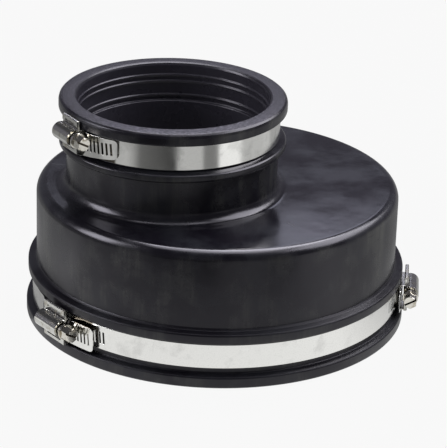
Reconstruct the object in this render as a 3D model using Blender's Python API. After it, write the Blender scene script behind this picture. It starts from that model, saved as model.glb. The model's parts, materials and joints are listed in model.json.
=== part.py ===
"""Flexible eccentric pipe coupling: a moulded rubber sleeve held by two worm-drive band clamps.

Units are metres and +Z is up. The origin is on the large socket's axis in the plane of its
end face. The small socket's axis is parallel to it and offset towards -X. Profiles and clamp
dimensions are written in millimetres and scaled by MM when the meshes are made.
"""

import math

import bmesh
import bpy
from mathutils import Vector

for old in list(bpy.data.objects):
    bpy.data.objects.remove(old, do_unlink=True)

MM = 0.001

# Sleeve, mm
SEGMENTS = 60
OFFSET = 27.8  # between the two socket axes
HEIGHT = 135.2
SMALL_BORE_R = 55.5  # takes a 110 mm pipe
LARGE_BORE_R = 100.5  # takes a 200 mm pipe
STOP_LEDGE = 2.1
SMALL_STOP_Z = 111.8
LARGE_STOP_Z = 28.0
NECK_R = 61.3
WALL_R = 106.0
SLAB_TOP_Z = 80.0
SLAB_THICK = 6.0
SMALL_CHANNEL_R = 60.9
LARGE_CHANNEL_R = 107.4
SHOULDER_R = 6.2
NECK_FILLET = 6.5
RIB = 0.9

# Clamps, mm
BAND_WIDTH = 14.2
BAND_THICK = 0.7
BAND_GAP = 0.35  # clearance between a band and the channel floor
SMALL_BAND_Z = 119.8
FRONT_BAND_Z = 18.1  # the fixed half of the large clamp
REAR_BAND_Z = 15.8  # the half that is drawn through both housings
TAIL_LIFT = 3.6  # inner face of the tail over the channel floor, inside the housing
SADDLE_LIFT = 2.75
END_LIFT = 1.7  # inner face of a band's fixed end, under the saddle
SADDLE_THICK = 0.5
SCREW_LIFT = 8.8  # screw axis over the channel floor
HOUSING_THICK = 0.7
BARREL_R = 4.65
FLANGE_LIFT = 6.3
SLOT_PITCH = 2.6
SLOT_WIDTH = 1.2
SLOT_HALF = 3.5
SLOT_SLANT = 0.3  # how far a slot's end leans from its middle
BAND_STEP = 7.0  # longest facet along a band
BAND_END = 4.0  # a band's fixed end reaches this far past its housing's middle
CORNER_R = 2.4  # of a band's free end
CORNER_TURN = [math.radians(angle) for angle in (0, 30, 60, 90)]
LAST_SLOT = 2.9  # from a band's free end
SLOTS_BACK = 28.0  # the slots start this far behind the housing's middle
TAIL_NARROWS = 2.8  # the small band's lower edge, at its free end
LEFT_FRONT_SLOTS = (17.0, 34.0)  # on the fixed half, from each housing's middle
RIGHT_FRONT_SLOTS = (16.0, 31.0)

# Screw, mm
WORM_R = 4.0
ROOT_R = 3.2
COLLAR_R = 4.6
HEX_FLATS = 7.2
NECK = 3.2  # between the housing and the collar
HEAD_LENGTH = 6.5
SHANK_SIDES = 14
SLOT_TURN = 0.5  # how far the head's slot has turned, in radians
SLOT_DEPTH = 1.6

# Clamp stations: angle round the axis, side the screw head points to (+1 is anticlockwise),
# how far the screw axis stands above the passing band's centre line, how the tail bends
# (1 follows the band, 0 is straight), half the housing's length, half its width over the
# flanges, and the tail's length.
SMALL_HOUSING = (198.5, 1, 3.5, 1.4, 8.5, 9.0, 31.0)
LEFT_HOUSING = (203.0, 1, 2.3, 1.0, 10.3, 10.0, 28.4)
RIGHT_HOUSING = (341.5, -1, 2.2, 0.9, 10.3, 10.0, 17.5)


def material(name, color, roughness, metallic):
    made = bpy.data.materials.new(name)
    made.use_nodes = True
    shader = made.node_tree.nodes["Principled BSDF"]
    shader.inputs["Base Color"].default_value = (*color, 1.0)
    shader.inputs["Roughness"].default_value = roughness
    shader.inputs["Metallic"].default_value = metallic
    made.diffuse_color = (*color, 1.0)
    return made


RUBBER = material("rubber", (0.03, 0.03, 0.035), 0.6, 0.0)
BAND_STEEL = material("band_steel", (0.72, 0.72, 0.70), 0.28, 1.0)
HOUSING_STEEL = material("housing_steel", (0.66, 0.66, 0.65), 0.25, 1.0)
SADDLE_STEEL = material("saddle_steel", (0.62, 0.62, 0.61), 0.3, 1.0)
SCREW_STEEL = material("screw_steel", (0.70, 0.68, 0.64), 0.22, 1.0)


def add_object(name, points, faces, look, origin, smooth=False):
    """An object from points in mm, its own origin at the given point in mm."""
    mesh = bpy.data.meshes.new(name)
    base = Vector(origin)
    mesh.from_pydata([(Vector(p) - base) * MM for p in points], [], faces)
    body = bmesh.new()
    body.from_mesh(mesh)
    bmesh.ops.recalc_face_normals(body, faces=body.faces)
    body.to_mesh(mesh)
    body.free()
    for face in mesh.polygons:
        face.use_smooth = smooth
    mesh.materials.append(look)
    made = bpy.data.objects.new(name, mesh)
    made.location = base * MM
    bpy.context.scene.collection.objects.link(made)
    return made


def ring_faces(rings, segments, closed):
    """Quads between consecutive rings of points, joined back to the first when closed."""
    faces = []
    last = rings if closed else rings - 1
    for i in range(last):
        a = i * segments
        b = ((i + 1) % rings) * segments
        for k in range(segments):
            n = (k + 1) % segments
            faces.append((a + k, a + n, b + n, b + k))
    return faces


def arc(centre, radius, start, end, steps):
    """Points (r, z) on an arc, its ends included. Angles in degrees."""
    points = []
    for i in range(steps + 1):
        angle = math.radians(start + (end - start) * i / steps)
        points.append((centre[0] + radius * math.cos(angle), centre[1] + radius * math.sin(angle)))
    return points


def ribs(radius, heights, down):
    """A bore's wall with inward sealing ribs at the given heights."""
    points = []
    for z in sorted(heights, reverse=down):
        step = -RIB if down else RIB
        points += [(radius, z - step), (radius - RIB, z), (radius, z + step)]
    return points


def make_sleeve():
    slab_under = SLAB_TOP_Z - SLAB_THICK
    large_inner = LARGE_BORE_R - STOP_LEDGE
    small_inner = SMALL_BORE_R - STOP_LEDGE
    large_out = [(111.2, 0.0), (112.0, 0.8), (112.0, 6.0), (111.4, 6.8), (108.0, 7.5)]
    large_out += [(LARGE_CHANNEL_R, 8.2), (LARGE_CHANNEL_R, 26.4), (110.3, 26.4), (110.9, 27.0)]
    large_out += [(110.9, 31.4), (110.3, 32.2), (107.0, 33.1), (WALL_R, 34.2)]
    corner = (WALL_R - SHOULDER_R, SLAB_TOP_Z - SHOULDER_R)
    large_out += arc(corner, SHOULDER_R, 0, 90, 4)
    foot = (NECK_R + NECK_FILLET, SLAB_TOP_Z + NECK_FILLET)
    small_out = arc(foot, NECK_FILLET, 270, 180, 4)
    small_out += [(NECK_R, 105.5), (64.8, 106.1), (65.6, 107.1), (65.6, 109.8), (64.7, 110.6)]
    small_out += [(61.2, 111.9), (SMALL_CHANNEL_R, 112.4), (SMALL_CHANNEL_R, 127.9), (65.2, 127.9)]
    small_out += [(65.9, 128.6), (65.9, 132.4), (65.5, 133.9), (64.4, 134.9), (62.8, HEIGHT)]
    small_in = [(57.1, HEIGHT), (56.0, HEIGHT - 0.6), (SMALL_BORE_R, HEIGHT - 1.8)]
    small_in += ribs(SMALL_BORE_R, (127.5, 123.6, 115.1), True)
    small_in += [(SMALL_BORE_R, SMALL_STOP_Z), (small_inner, SMALL_STOP_Z)]
    small_in += [(small_inner, slab_under + 1.2), (small_inner + 1.2, slab_under)]
    large_in = [(large_inner - 6.0, slab_under), (large_inner - 1.8, slab_under - 1.4)]
    large_in += [(large_inner, slab_under - 5.2), (large_inner, LARGE_STOP_Z)]
    large_in += [(LARGE_BORE_R, LARGE_STOP_Z)]
    large_in += ribs(LARGE_BORE_R, (24.0, 13.5, 9.5), True)
    large_in += [(LARGE_BORE_R, 1.0), (LARGE_BORE_R + 1.0, 0.0)]
    rings = [(0.0, r, z) for r, z in large_out]
    rings += [(-OFFSET, r, z) for r, z in small_out + small_in]
    rings += [(0.0, r, z) for r, z in large_in]
    points = []
    for x, r, z in rings:
        for k in range(SEGMENTS):
            angle = 2 * math.pi * k / SEGMENTS
            points.append((x + r * math.cos(angle), r * math.sin(angle), z))
    faces = ring_faces(len(rings), SEGMENTS, True)
    return add_object("rubber_sleeve", points, faces, RUBBER, (0.0, 0.0, 0.0), True)


def thick_sheet(name, inner, outer, present, look, origin):
    """A closed sheet-metal piece between two grids of points, over the cells that are present."""
    columns = len(inner)
    rows = len(inner[0])
    points = []
    index = {}

    def vertex(side, i, j):
        key = (side, i, j)
        if key not in index:
            index[key] = len(points)
            points.append((inner, outer)[side][i][j])
        return index[key]

    cells = {(i, j) for i in range(columns - 1) for j in range(rows - 1) if present(i, j)}
    faces = []
    for i, j in sorted(cells):
        corners = [(i, j), (i + 1, j), (i + 1, j + 1), (i, j + 1)]
        faces.append([vertex(1, *c) for c in corners])
        faces.append([vertex(0, *c) for c in reversed(corners)])
        sides = [(i, j - 1), (i + 1, j), (i, j + 1), (i - 1, j)]
        for k, beyond in enumerate(sides):
            if beyond not in cells:
                a = corners[k]
                b = corners[(k + 1) % 4]
                faces.append([vertex(1, *b), vertex(1, *a), vertex(0, *a), vertex(0, *b)])
    return add_object(name, points, faces, look, origin)


def smoothstep(x):
    x = min(max(x, 0.0), 1.0)
    return x * x * (3 - 2 * x)


class Station:
    """Where a housing sits on its clamp: local axes along the screw, outwards and up."""

    def __init__(self, clamp, placing):
        angle, self.side, self.rise, self.bend, self.half, self.flange, self.tail = placing
        self.angle = math.radians(angle)
        self.x, self.floor, self.z = clamp
        self.out = Vector((math.cos(self.angle), math.sin(self.angle), 0.0))
        self.along = Vector((-self.out.y, self.out.x, 0.0)) * self.side
        self.foot = Vector((self.x, 0.0, self.z)) + self.out * self.floor

    def point(self, s, w, u):
        """s mm along the screw, w mm out from the channel floor, u mm up."""
        return self.foot + self.along * s + self.out * w + Vector((0.0, 0.0, u))

    def wrapped(self, s, w, u):
        """The same, wrapped round the clamp's circle."""
        angle = self.angle + self.side * s / self.floor
        radius = self.floor + w
        return Vector((self.x + radius * math.cos(angle), radius * math.sin(angle), self.z + u))

    def band(self, t):
        """A point on the passing band's inner face, t mm from the housing, and its normal."""
        free = self.half
        lift = BAND_GAP + (TAIL_LIFT - BAND_GAP) * smoothstep((t + self.half + 16.0) / 15.0)
        held = min(t, free)
        angle = self.angle + self.side * held / self.floor
        radius = self.floor + lift
        at = Vector((self.x + radius * math.cos(angle), radius * math.sin(angle), self.z))
        out = Vector((math.cos(angle), math.sin(angle), 0.0))
        if t <= free:
            return at, out
        way = Vector((-out.y, out.x, 0.0)) * self.side
        more = (t - free) * radius / self.floor
        if self.bend <= 0:
            return at + way * more, out
        curve = radius / self.bend
        turn = more / curve
        at = at - out * curve * (1 - math.cos(turn)) + way * curve * math.sin(turn)
        return at, out * math.cos(turn) + way * math.sin(turn)


SMALL = Station((-OFFSET, SMALL_CHANNEL_R, SMALL_BAND_Z), SMALL_HOUSING)
LEFT = Station((0.0, LARGE_CHANNEL_R, REAR_BAND_Z), LEFT_HOUSING)
RIGHT = Station((0.0, LARGE_CHANNEL_R, REAR_BAND_Z), RIGHT_HOUSING)


def fixed_lift(t, half):
    """How far a band's fixed end stands off the channel floor, t mm from the housing."""
    return BAND_GAP + (END_LIFT - BAND_GAP) * smoothstep((half + 8.0 - t) / 9.0)


def slot_marks(start, end):
    """Start and end of each slot between two distances along a band, the last one at the end."""
    count = int((end - start) / SLOT_PITCH)
    last = [end - i * SLOT_PITCH for i in reversed(range(count))]
    return [(mark - SLOT_WIDTH, mark) for mark in last]


def strip_columns(start, end, slots, step):
    """Distances of the columns of a band, and which spans between them are slots."""
    marks = {start, end}
    for a, b in slots:
        marks.update((a, b))
    marks = sorted(marks)
    columns = [marks[0]]
    slotted = []
    for a, b in zip(marks, marks[1:]):
        cuts = max(1, math.ceil((b - a) / step))
        is_slot = any(abs(a - m[0]) < 1e-9 and abs(b - m[1]) < 1e-9 for m in slots)
        for i in range(cuts):
            columns.append(a + (b - a) * (i + 1) / cuts)
            slotted.append(is_slot)
    return columns, slotted


def straight_edge(d):
    return 0.0


def make_band(
    name, path, start, end, slots, slant, round_start, round_end, origin, narrowing=straight_edge
):
    """A slotted strip along a path. Its free ends have rounded corners.

    The slots' upper ends lean forwards by slant. The lower edge is raised by narrowing(d).
    """
    half = BAND_WIDTH / 2
    columns, slotted = strip_columns(start, end, slots, BAND_STEP)
    trims = [(CORNER_R * (1 - math.sin(a)), CORNER_R * (1 - math.cos(a))) for a in CORNER_TURN]
    near = [(start + d, cut) for d, cut in trims] if round_start else []
    far = [(end - d, cut) for d, cut in trims] if round_end else []
    first = start + CORNER_R if round_start else start
    last = end - CORNER_R if round_end else end
    spans = []
    for (a, b), is_slot in zip(zip(columns, columns[1:]), slotted):
        if a >= first - 1e-9 and b <= last + 1e-9:
            spans.append((a, b, is_slot))
    stations = [(d, cut) for d, cut in reversed(near)][:-1]
    flags = [False] * len(stations)
    if spans[0][0] > first + 1e-9:
        stations.append((first, 0.0))
        flags.append(False)
    for a, b, is_slot in spans:
        stations.append((a, 0.0))
        flags.append(is_slot)
    stations.append((spans[-1][1], 0.0))
    if last > spans[-1][1] + 1e-9:
        flags.append(False)
        stations.append((last, 0.0))
    for d, cut in far[1:]:
        flags.append(False)
        stations.append((d, cut))
    inner = []
    outer = []
    for i, (d, cut) in enumerate(stations):
        beside = (i < len(flags) and flags[i]) or (i > 0 and flags[i - 1])
        forward = slant if beside else 0.0
        raised = narrowing(d)
        slot_half = min(SLOT_HALF, half - cut - raised / 2 - 0.6)
        heights = ((raised + cut - half, -forward), (raised / 2 - slot_half, -forward))
        heights += ((raised / 2 + slot_half, forward), (half - cut, forward))
        low = []
        high = []
        for u, lean in heights:
            at, out = path(d + lean)
            at = at + Vector((0.0, 0.0, u))
            low.append(at)
            high.append(at + out * BAND_THICK)
        inner.append(low)
        outer.append(high)
    return thick_sheet(
        name, inner, outer, lambda i, j: not (flags[i] and j == 1), BAND_STEEL, origin
    )


def offset_line(line, thick):
    """A polyline's two faces, thick mm apart, as seen across its section."""
    low = []
    high = []
    for i, here in enumerate(line):
        before = line[max(i - 1, 0)]
        after = line[min(i + 1, len(line) - 1)]
        ins = Vector((here[0] - before[0], here[1] - before[1]))
        outs = Vector((after[0] - here[0], after[1] - here[1]))
        ins = ins.normalized() if ins.length > 0 else outs.normalized()
        outs = outs.normalized() if outs.length > 0 else ins
        normal = Vector((-ins.y - outs.y, ins.x + outs.x)).normalized()
        reach = thick / 2 / max(normal.dot(Vector((-ins.y, ins.x))), 0.5)
        low.append((here[0] - normal.x * reach, here[1] - normal.y * reach))
        high.append((here[0] + normal.x * reach, here[1] + normal.y * reach))
    return low, high


def make_housing(name, station, origin):
    """The stamped cap: a barrel over the screw with a flange on each side."""
    edge = math.degrees(math.acos((FLANGE_LIFT + 0.45 - SCREW_LIFT) / BARREL_R))
    line = [(FLANGE_LIFT, -station.flange), (FLANGE_LIFT, -BARREL_R - 0.25)]
    line += arc((SCREW_LIFT, 0.0), BARREL_R, -edge, edge, 14)
    line += [(FLANGE_LIFT, BARREL_R + 0.25), (FLANGE_LIFT, station.flange)]
    low, high = offset_line([(w, u + station.rise) for w, u in line], HOUSING_THICK)
    stops = (-station.half, station.half)
    inner = [[station.point(s, w, u) for w, u in low] for s in stops]
    outer = [[station.point(s, w, u) for w, u in high] for s in stops]
    return thick_sheet(name, inner, outer, lambda i, j: True, HOUSING_STEEL, origin)


def make_saddle(name, station, origin):
    """The plate under the passing band. Its edges fold over the housing's flanges."""
    plate = SADDLE_LIFT + SADDLE_THICK / 2
    wall = BAND_WIDTH / 2 + 0.15 + SADDLE_THICK / 2
    over = FLANGE_LIFT + HOUSING_THICK / 2 + 0.2 + SADDLE_THICK / 2
    under = FLANGE_LIFT - HOUSING_THICK / 2 - 0.2 - SADDLE_THICK / 2
    reach = station.flange + 0.25 + SADDLE_THICK / 2

    def side(sign):
        tip = reach + sign * station.rise
        lip = [(over, tip - 3.2), (over, tip - 1.7), (over, tip)]
        if tip > wall + 0.5:
            lip += [(under, tip), (under, wall)]
        else:
            lip.append((TAIL_LIFT + BAND_THICK + 0.5, wall))
        return [(w, sign * u) for w, u in lip] + [(plate, sign * wall)]

    top = side(1)
    bottom = side(-1)
    line = bottom + list(reversed(top))
    low, high = offset_line(line, SADDLE_THICK)
    half = station.half - 0.4
    notch = station.half - 3.5
    stops = (-half, -notch, -notch / 2, 0.0, notch / 2, notch, half)
    folds = {0, len(line) - 2}

    def placed(s, w, u):
        flat = station.point(s, w, u)
        if w > plate + 1.0:
            return flat
        return station.wrapped(s, w, u)

    inner = [[placed(s, w, u) for w, u in low] for s in stops]
    outer = [[placed(s, w, u) for w, u in high] for s in stops]
    return thick_sheet(
        name,
        inner,
        outer,
        lambda i, j: not (j in folds and 1 <= i <= 4),
        SADDLE_STEEL,
        origin,
    )


def screw_ring(station, s, radius, segments, turn=0.0):
    points = []
    for k in range(segments):
        angle = 2 * math.pi * k / segments + turn
        w = SCREW_LIFT + radius * math.cos(angle)
        u = station.rise + radius * math.sin(angle)
        points.append(station.point(s, w, u))
    return points


def lathe_along(station, profile, segments, turn=0.0):
    """Points and faces of a solid turned about the screw axis, from (s, radius) pairs."""
    points = []
    for s, radius in profile:
        points += screw_ring(station, s, radius, segments, turn)
    faces = ring_faces(len(profile), segments, False)
    faces.append(tuple(range(segments)))
    faces.append(tuple(range(len(points) - segments, len(points))))
    return points, faces


def make_worm(name, station, origin):
    """The thread: a ridge with sloping flanks wound round the screw's root."""
    steps = SHANK_SIDES
    phase = 0.37  # keeps the ridge's corners off the shank's
    inset = 1.0  # from the housing's ends
    base = 0.95
    flat = 0.35
    foot = ROOT_R - 0.5
    points = []
    total = int(steps * (2 * station.half - 2 * inset) / SLOT_PITCH)
    for i in range(total + 1):
        angle = 2 * math.pi * (i + phase) / steps
        middle = inset - station.half + SLOT_PITCH * i / steps
        taper = min(1.0, 4.0 * i / steps, 4.0 * (total - i) / steps)
        crest = ROOT_R + (WORM_R - ROOT_R) * max(taper, 0.15)
        for ds, radius in ((-base, foot), (-flat, crest), (flat, crest), (base, foot)):
            w = SCREW_LIFT + radius * math.cos(angle)
            u = station.rise + station.side * radius * math.sin(angle)
            points.append(station.point(middle + ds, w, u))
    faces = ring_faces(total + 1, 4, False)
    faces.append((0, 1, 2, 3))
    faces.append(tuple(range(len(points) - 4, len(points))))
    ridge = add_object(name + "_ridge", points, faces, SCREW_STEEL, origin)
    ridge.hide_render = True
    ridge.display_type = "WIRE"
    return ridge


def add_boolean(target, operation, cutter):
    change = target.modifiers.new(cutter.name, "BOOLEAN")
    change.operation = operation
    change.solver = "EXACT"
    change.object = cutter


def make_screw(name, station):
    """Worm, neck, collar and a slotted hexagonal head on one axis."""
    origin = station.point(0.0, SCREW_LIFT, station.rise)
    half = station.half
    seat = half + NECK
    end = seat + 1.5 + HEAD_LENGTH
    shank = [(0.2 - half, 2.4), (0.8 - half, ROOT_R), (seat - 0.3, ROOT_R), (seat, COLLAR_R)]
    shank += [(seat + 1.3, COLLAR_R), (seat + 1.5, 3.3), (seat + 3.0, 3.1)]
    points, faces = lathe_along(station, shank, SHANK_SIDES)
    screw = add_object(name, points, faces, SCREW_STEEL, origin)
    corner = HEX_FLATS / 2 / math.cos(math.pi / 6)
    head = [(seat + 1.45, corner * 0.94), (seat + 1.9, corner), (end - 0.7, corner)]
    head += [(end, corner * 0.86)]
    points, faces = lathe_along(station, head, 6, math.pi / 6)
    hexagon = add_object(name + "_hex", points, faces, SCREW_STEEL, origin)
    hexagon.hide_render = True
    hexagon.display_type = "WIRE"
    box = []
    turned = (math.cos(SLOT_TURN), math.sin(SLOT_TURN))
    for s in (end - SLOT_DEPTH, end + 1.0):
        for across in (-HEX_FLATS, HEX_FLATS):
            for wide in (-0.6, 0.6):
                w = SCREW_LIFT + across * turned[0] - wide * turned[1]
                u = station.rise + across * turned[1] + wide * turned[0]
                box.append(station.point(s, w, u))
    sides = [(0, 1, 3, 2), (4, 6, 7, 5), (0, 4, 5, 1), (2, 3, 7, 6), (0, 2, 6, 4), (1, 5, 7, 3)]
    slot = add_object(name + "_slot", box, sides, SCREW_STEEL, origin)
    slot.hide_render = True
    slot.display_type = "WIRE"
    add_boolean(screw, "UNION", make_worm(name, station, origin))
    add_boolean(screw, "UNION", hexagon)
    add_boolean(screw, "DIFFERENCE", slot)
    return screw


def make_small_clamp():
    axis = (-OFFSET, 0.0, SMALL_BAND_Z)
    length = 2 * math.pi * SMALL_CHANNEL_R

    def path(d):
        if d > -length / 2:
            return SMALL.band(d)
        angle = SMALL.angle + d / SMALL_CHANNEL_R
        out = Vector((math.cos(angle), math.sin(angle), 0.0))
        radius = SMALL_CHANNEL_R + fixed_lift(d + length, SMALL.half)
        return Vector((-OFFSET, 0.0, SMALL_BAND_Z)) + out * radius, out

    def narrowing(d):
        return TAIL_NARROWS * max(0.0, (d - SMALL.half) / (SMALL.tail - SMALL.half))

    slots = slot_marks(-SLOTS_BACK, SMALL.tail - LAST_SLOT)
    start = -length - BAND_END
    make_band(
        "small_band", path, start, SMALL.tail, slots, -SLOT_SLANT, False, True, axis, narrowing
    )
    make_housing("small_housing", SMALL, axis)
    make_saddle("small_saddle", SMALL, axis)
    make_screw("small_screw", SMALL)


def make_large_clamp():
    axis = (0.0, 0.0, REAR_BAND_Z)
    front = math.radians(RIGHT_HOUSING[0] - LEFT_HOUSING[0]) * LARGE_CHANNEL_R
    rear = 2 * math.pi * LARGE_CHANNEL_R - front

    def front_path(d):
        angle = LEFT.angle + d / LARGE_CHANNEL_R
        out = Vector((math.cos(angle), math.sin(angle), 0.0))
        at = out * (LARGE_CHANNEL_R + fixed_lift(min(d, front - d), LEFT.half))
        return Vector((at.x, at.y, FRONT_BAND_Z)), out

    def rear_path(d):
        if d < rear / 2:
            return LEFT.band(-d)
        return RIGHT.band(d - rear)

    near = slot_marks(*LEFT_FRONT_SLOTS)
    far = [(front - b, front - a) for a, b in reversed(slot_marks(*RIGHT_FRONT_SLOTS))]
    make_band(
        "large_front_band",
        front_path,
        -BAND_END,
        front + BAND_END,
        near + far,
        -SLOT_SLANT,
        False,
        False,
        axis,
    )
    left = [(-b, -a) for a, b in reversed(slot_marks(-SLOTS_BACK, LEFT.tail - LAST_SLOT))]
    right = [(rear + a, rear + b) for a, b in slot_marks(-SLOTS_BACK, RIGHT.tail - LAST_SLOT)]
    make_band(
        "large_rear_band",
        rear_path,
        -LEFT.tail,
        rear + RIGHT.tail,
        left + right,
        SLOT_SLANT,
        True,
        True,
        axis,
    )
    for name, station in (("left", LEFT), ("right", RIGHT)):
        make_housing("large_%s_housing" % name, station, axis)
        make_saddle("large_%s_saddle" % name, station, axis)
        make_screw("large_%s_screw" % name, station)


make_sleeve()
make_small_clamp()
make_large_clamp()
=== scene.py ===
"""The looks of a flexible eccentric pipe coupling: a rubber sleeve and two worm-drive clamps.

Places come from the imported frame. Profiles and sheet-metal sections are in millimetres and are
scaled by MM when the meshes are made.
"""

import math

import bpy
from mathutils import Matrix, Vector
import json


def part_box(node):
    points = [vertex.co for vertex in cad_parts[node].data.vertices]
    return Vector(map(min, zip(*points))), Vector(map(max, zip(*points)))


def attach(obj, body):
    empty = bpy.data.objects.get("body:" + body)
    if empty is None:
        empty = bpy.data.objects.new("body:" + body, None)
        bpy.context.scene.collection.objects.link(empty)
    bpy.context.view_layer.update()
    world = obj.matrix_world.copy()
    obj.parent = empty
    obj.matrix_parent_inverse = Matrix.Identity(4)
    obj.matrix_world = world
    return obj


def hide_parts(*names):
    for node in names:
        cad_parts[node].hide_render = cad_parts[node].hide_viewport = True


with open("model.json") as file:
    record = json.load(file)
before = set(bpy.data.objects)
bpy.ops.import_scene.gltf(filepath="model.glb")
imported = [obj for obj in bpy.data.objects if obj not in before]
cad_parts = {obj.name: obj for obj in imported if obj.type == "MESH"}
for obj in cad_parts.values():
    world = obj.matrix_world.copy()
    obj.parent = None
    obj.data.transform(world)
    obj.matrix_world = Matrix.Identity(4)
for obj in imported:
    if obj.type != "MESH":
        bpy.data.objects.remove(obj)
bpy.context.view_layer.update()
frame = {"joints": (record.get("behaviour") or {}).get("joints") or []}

MM = 0.001
JOINTS = {joint["name"]: joint for joint in frame["joints"]}
SLEEVE_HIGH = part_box("rubber_sleeve")[1] / MM

# Sleeve, mm. Heights are above the large rim.
SEGMENTS = 240
OFFSET = -JOINTS["small_clamp_turn"]["pos_m"][0] / MM
HEIGHT = SLEEVE_HIGH.z
RIM_R = SLEEVE_HIGH.x
LARGE_BORE_R = 100.5
LARGE_STOP_Z = 28.0
LARGE_RIB_Z = (24.0, 13.5, 9.5)
LARGE_CHANNEL_R = 107.4
LARGE_CHANNEL_Z = (8.2, 26.4)
LARGE_LIP_Z = 6.0
LARGE_BEAD_R = 110.9
LARGE_BEAD_Z = 31.4
WALL_R = 106.0
WALL_FOOT_Z = 34.2
SHOULDER_R = 6.2
SLAB_TOP_Z = 80.0
SLAB_THICK = 6.0
NECK_FILLET = 6.5
NECK_R = 61.3
NECK_TOP_Z = 105.5
SMALL_BEAD_R = 65.6
SMALL_BEAD_Z = (107.1, 109.8)
SMALL_CHANNEL_R = 60.9
SMALL_CHANNEL_Z = (112.4, 127.9)
SMALL_RIM_R = 65.9
SMALL_RIM_Z = (128.6, 132.4)
SMALL_BORE_R = 55.5
SMALL_STOP_Z = 111.8
SMALL_RIB_Z = (127.5, 123.6, 115.1)
STOP_LEDGE = 2.1
RIB = 0.9
BEND_STEPS = 4
NEAR = 1e-6
STRAIGHT = math.radians(14)  # a profile's corner that turns less than this isn't rounded
SLEEVE_ROUND = 0.9
LARGE_BORE_ROUND = 0.8
SMALL_BORE_ROUND = 0.6

# Clamps, mm. Lifts are above the channel's floor.
BAND_WIDTH = 14.2
BAND_THICK = 0.7
BAND_GAP = 0.35
BAND_STEP = 1.6
BAND_END = 4.0
TAIL_LIFT = 3.6
TAIL_NARROWS = 2.8
TAIL_RISE = (16.0, 15.0)  # it starts this far before the housing and takes this long
END_LIFT = 1.7
END_RISE = (8.0, 9.0)
CORNER_R = 2.4
CORNER_STEPS = 6
SLOT_PITCH = 2.6
SLOT_WIDTH = 1.2
SLOT_HALF = 3.5
SLOT_SLANT = 0.3
SLOT_MARGIN = 0.6
LAST_SLOT = 2.9
SLOTS_BACK = 28.0
LEFT_FRONT_SLOTS = (17.0, 34.0)
RIGHT_FRONT_SLOTS = (16.0, 31.0)
HOUSING_THICK = 0.7
HOUSING_BEND = 0.5
BARREL_R = 4.65
BARREL_FOOT = 0.45  # the barrel begins this far above the flange
BARREL_STEPS = 32
FLANGE_LIFT = 6.3
FLANGE_GAP = 0.25  # the flange ends this far from the barrel
LIP = 0.45  # how far the front lip flares, between these two distances from its end
LIP_START = 1.3
LIP_FULL = 0.5
SADDLE_THICK = 0.5
SADDLE_LIFT = 2.75
SADDLE_BEND = 0.45
SADDLE_SHORTER = 0.4
SADDLE_MARGIN = 2.0
WINDOW_FROM_END = 3.5
FOLD = 3.2
FOLD_CLEAR = 0.2
FOLD_SIDE_CLEAR = 0.25
WALL_CLEAR = 0.15
WALL_LEFT = 0.5  # the saddle's wall stands at least this far past the band
EDGE_ROUND = 0.14

# Screw, mm
SCREW_LIFT = 8.8
SCREW_SIDES = 72
WORM_R = 4.0
ROOT_R = 3.2
THREAD_STEP = 0.14
THREAD_BASE = 0.95
THREAD_FLAT = 0.35
THREAD_FADE = 1.2
NECK = 3.2
COLLAR_R = 4.6
COLLAR_LENGTH = 1.5
HEX_FLATS = 7.2
HEX_FACE = 0.94  # the chamfered rims' share of the width across the flats
HEX_SLOPE = 1.5
HEAD_LENGTH = 6.5
DRIVER_TURN = 0.5  # the screwdriver slot's turn, in radians
DRIVER_WIDTH = 1.2
DRIVER_DEPTH = 1.6
DRIVER_NEAR = 0.02  # how near to the slot's sides and floor a face counts as in it

# Colours, linear
RUBBER_DARK = (0.0036, 0.0032, 0.0050)
RUBBER_LIGHT = (0.0094, 0.0098, 0.0122)
RUBBER_FILM = (0.034, 0.0345, 0.0310)
RUBBER_SCUFF = (0.016, 0.016, 0.016)
# the small bore's colours, lifted above the rubber's as painted fill light, with a dusty mottle
BORE_PAINTED_FILL = (0.012, 0.011, 0.015)
BORE_DUST_AND_FILL = (0.026, 0.025, 0.032)
CUT_FACE = (0.0060, 0.0056, 0.0078)
# rubbed marks on the small rim, lighter towards its -Y side as a painted highlight
CUT_FACE_WORN_AND_LIT = (0.075, 0.072, 0.088)
STRIP = (0.80, 0.80, 0.775)
# painted shade on the strip under a tail
SHADE_UNDER_TAIL = (0.085, 0.075, 0.058)
# painted shade inside a screwdriver slot
SLOT_SHADE = (0.055, 0.047, 0.036)
STAIN_TONE = (0.52, 0.47, 0.38)  # a stain's share of the metal's own colour
BLUISH = (0.82, 0.83, 1.0)
PALE = (0.97, 0.96, 1.0)

# Turns, in degrees from and to, where a tail covers the strip, which is painted dark there as shade
# under the tail
SMALL_COVERED = ((-162.0, -134.0),)
LARGE_COVERED = ((-158.0, -143.0), (-27.0, -18.0))

# Camera, in the frame's metres
CAMERA_TURN = 14.5  # the camera stands this far round from -Y towards -X
CAMERA_BACK = 1.2793
CAMERA_UP = 0.5962
CAMERA_PITCH = 23.04
CAMERA_YAW = 0.18
CAMERA_ROLL = 1.72
CAMERA_LENS = 189.16


# --- nodes and materials ---------------------------------------------------------------------


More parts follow.
